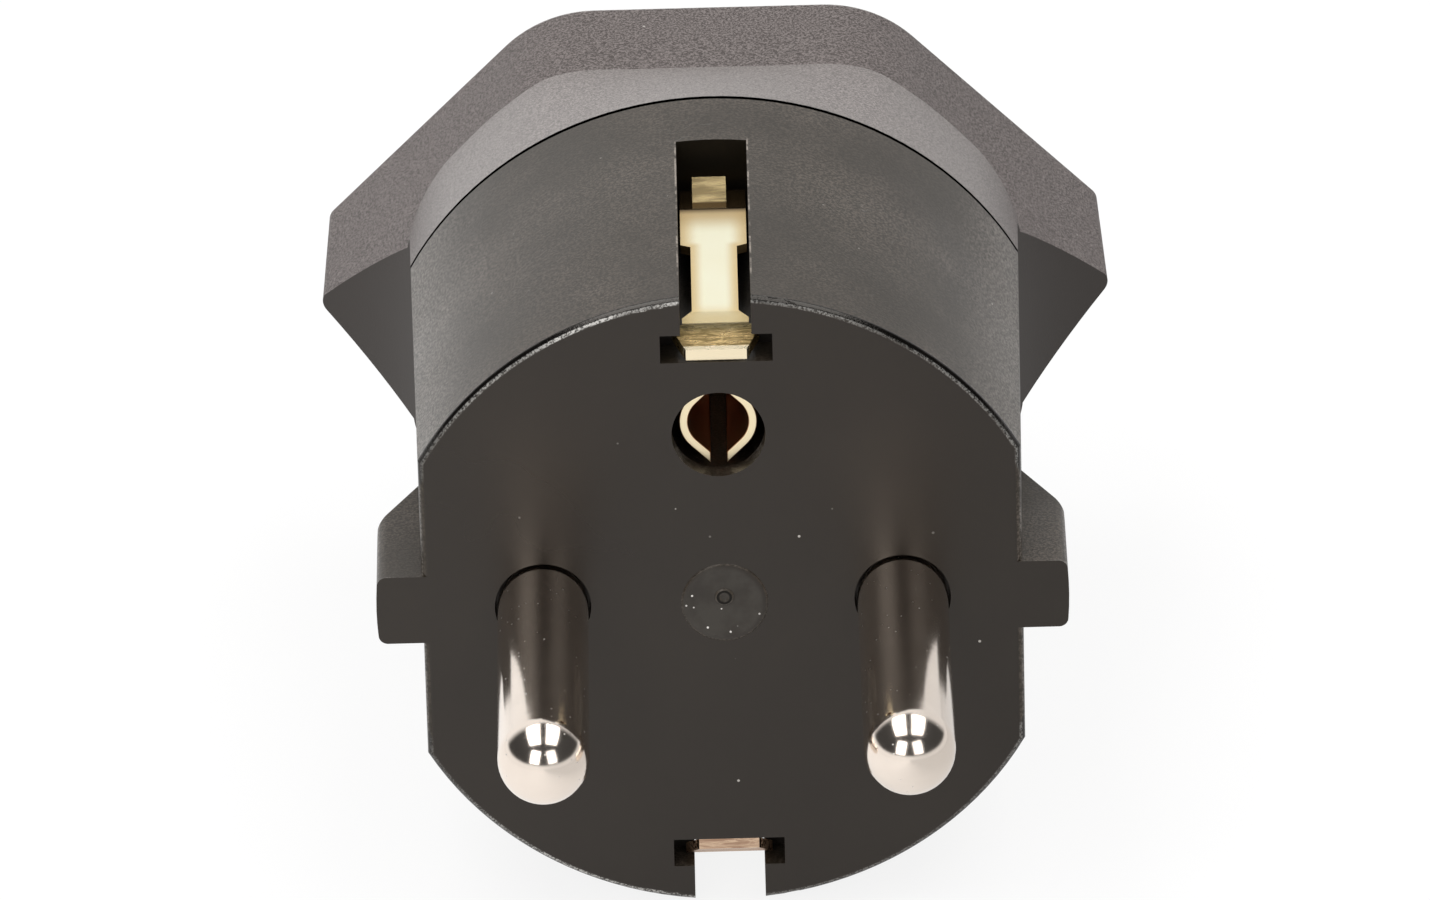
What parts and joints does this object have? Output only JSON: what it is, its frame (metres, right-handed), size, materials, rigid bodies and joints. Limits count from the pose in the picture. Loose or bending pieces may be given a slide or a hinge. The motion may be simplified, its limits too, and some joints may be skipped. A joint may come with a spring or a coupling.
{
  "type": "plug adapter",
  "caption": "Travel plug adapter: round earthed two-pin plug with earth clips, flaring to a hexagonal collar that holds a recessed three-hole socket.",
  "frame": {"origin": "centre of the plug's flat face, midway between the two pins", "axes": "+X to the right across the pins, +Y from the plug face into the body and out of the socket, so that the pins point along -Y, +Z towards the round earth contact hole"},
  "size_m": [0.043, 0.0656, 0.0372],
  "materials": {
    "plug_plastic": "black moulded plastic, satin",
    "housing_plastic": "black moulded plastic, coarse spark-eroded texture on the collar and fine grain in front of it",
    "carrier_plastic": "plain black moulded plastic",
    "nickel_plated_brass": "bright nickel plating",
    "contact_brass": "plain turned brass",
    "clip_brass": "pale bright rolled brass with scratched bends",
    "spring_steel": "bright spring steel"
  },
  "bodies": {
    "root": {"plug_body": "plug_plastic", "socket_housing": "housing_plastic", "contact_carrier": "carrier_plastic", "left_plug_pin": "nickel_plated_brass", "right_plug_pin": "nickel_plated_brass", "left_contact_sleeve": "contact_brass", "right_contact_sleeve": "contact_brass", "left_sleeve_spring": "spring_steel", "right_sleeve_spring": "spring_steel", "earth_contact_sleeve": "contact_brass", "earth_sleeve_spring": "spring_steel", "earth_cross_strip": "contact_brass", "upper_earth_clip": "clip_brass", "lower_earth_clip": "clip_brass", "earth_leaf_contact": "contact_brass", "upper_earth_rivet": "contact_brass", "lower_earth_rivet": "contact_brass"}
  },
  "joints": []
}
